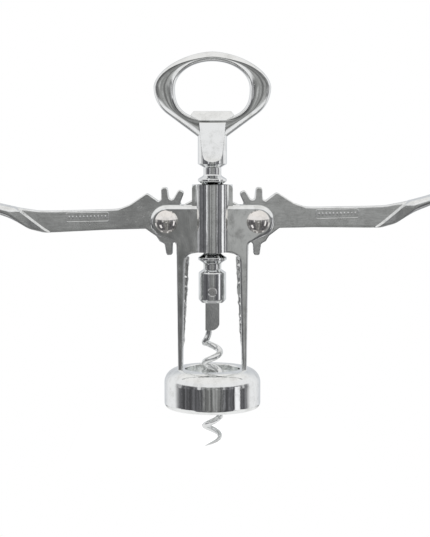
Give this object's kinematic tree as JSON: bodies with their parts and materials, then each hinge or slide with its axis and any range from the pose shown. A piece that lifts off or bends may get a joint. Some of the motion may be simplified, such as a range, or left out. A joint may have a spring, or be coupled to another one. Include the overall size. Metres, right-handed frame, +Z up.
{
  "type": "lever corkscrew",
  "caption": "Wing corkscrew: two geared lever arms on a forked bell frame lift a ringed rack that carries a bottle-opener handle, a spindle and a coiled worm.",
  "frame": {"origin": "on the worm's axis, at the lower end of the bell's straight bore, 1.7 mm above its rounded rim", "axes": "+Z up along the worm's axis towards the opener ring; +X along the right lever; -Y is the front, where the rivets' domed heads are"},
  "size_m": [0.2063, 0.0408, 0.1674],
  "materials": {
    "cast_chrome": "polished",
    "lever_chrome": "polished",
    "turned_chrome": "polished",
    "rivet_chrome": "polished",
    "plain_steel": "satin",
    "worm_steel": "polished"
  },
  "bodies": {
    "frame": {"frame": "cast_chrome", "pivot_rivet_right": "rivet_chrome", "pivot_rivet_left": "rivet_chrome", "rivet_washer_right": "plain_steel", "rivet_washer_left": "plain_steel"},
    "rack": {"rack_sleeve": "turned_chrome"},
    "screw": {"opener_handle": "cast_chrome", "spindle": "plain_steel", "screw_socket": "turned_chrome", "worm": "worm_steel", "worm_pin": "plain_steel"},
    "right_lever": {"lever_right": "lever_chrome"},
    "left_lever": {"lever_left": "lever_chrome"}
  },
  "joints": [
    {"name": "rack_slide", "type": "slide", "parent": "frame", "child": "rack", "axis": [0, 0, 1], "range_m": [-0.0154, 0.0195]},
    {"name": "handle_spin", "type": "hinge", "parent": "rack", "child": "screw", "pos_m": [0, 0, 0.0998], "axis": [0, 0, 1], "continuous": true},
    {"name": "right_pivot", "type": "hinge", "parent": "frame", "child": "right_lever", "pos_m": [0.0191, 0, 0.0775], "axis": [0, 1, 0], "range_deg": [-70.05, 88.69]},
    {"name": "left_pivot", "type": "hinge", "parent": "frame", "child": "left_lever", "pos_m": [-0.0191, 0, 0.0775], "axis": [0, -1, 0], "range_deg": [-70.05, 88.69]}
  ],
  "couplings": [
    {"joint": "right_pivot", "follows": "rack_slide", "rad_per_m": 79.334},
    {"joint": "left_pivot", "follows": "rack_slide", "rad_per_m": 79.334}
  ]
}
